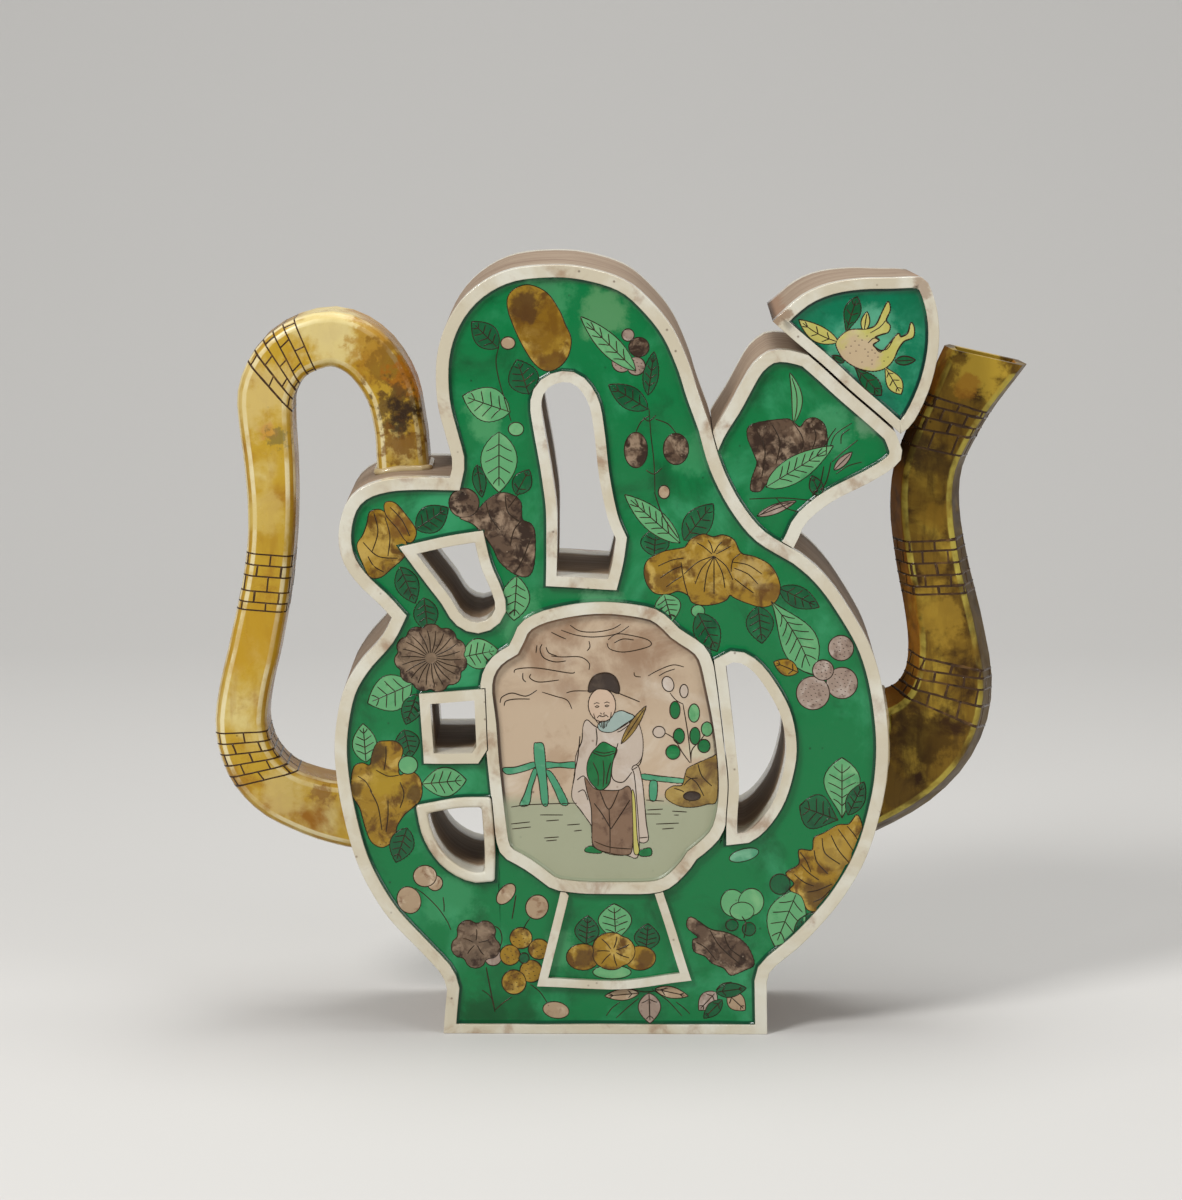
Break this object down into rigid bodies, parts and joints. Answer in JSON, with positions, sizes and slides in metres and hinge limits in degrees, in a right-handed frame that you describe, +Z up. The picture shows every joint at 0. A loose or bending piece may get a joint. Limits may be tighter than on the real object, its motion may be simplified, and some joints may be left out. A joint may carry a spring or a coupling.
{
  "type": "porcelain teapot",
  "caption": "Slab-built glazed pot with a flat pierced body, medallion, side neck with lift-off fan lid, strap handle and faceted spout.",
  "frame": {"origin": "middle of the foot's underside", "axes": "+Z up, +X from the handle towards the spout, -Y out of the decorated front, so the pot's flat thickness runs along Y"},
  "size_m": [0.2263, 0.052, 0.215],
  "materials": {
    "rim_glaze": "milky clear glaze over the proud ribs, stained brown in places",
    "green_glaze": "glossy copper green enamel on biscuit, darker where it pools",
    "panel_glaze": "cream and pale green enamel with brown wash",
    "yellow_glaze": "mottled yellow enamel with dark patches",
    "spout_glaze": "mottled brown, olive and yellow enamel",
    "biscuit": "unglazed tan biscuit"
  },
  "bodies": {
    "pot": {"base_plate": "biscuit", "right_foot_wall": "biscuit", "right_wall": "biscuit", "throat_wall": "biscuit", "crown_wall": "biscuit", "shoulder_wall": "biscuit", "left_wall": "biscuit", "left_foot_wall": "biscuit", "arch_lining": "biscuit", "shoulder_lining": "biscuit", "square_lining": "biscuit", "quarter_lining": "biscuit", "crescent_lining": "biscuit", "front_slab": "green_glaze", "back_slab": "green_glaze", "front_medallion_frame": "rim_glaze", "back_medallion_frame": "rim_glaze", "front_medallion_panel": "panel_glaze", "back_medallion_panel": "panel_glaze", "front_plinth_rib": "rim_glaze", "back_plinth_rib": "rim_glaze", "neck_lower_wall": "biscuit", "neck_mouth_plate": "biscuit", "neck_upper_wall": "biscuit", "neck_front_slab": "green_glaze", "neck_back_slab": "green_glaze", "handle": "yellow_glaze", "spout_front_half": "spout_glaze", "spout_back_half": "spout_glaze"},
    "lid": {"lid_side_wall": "biscuit", "lid_crest_wall": "biscuit", "lid_seat_plate": "biscuit", "lid_front_slab": "green_glaze", "lid_back_slab": "green_glaze", "lid_flange": "biscuit"}
  },
  "joints": [
    {"name": "lid_lift", "type": "slide", "parent": "pot", "child": "lid", "axis": [0, 0, 1], "range_m": [0, 0.03]}
  ]
}
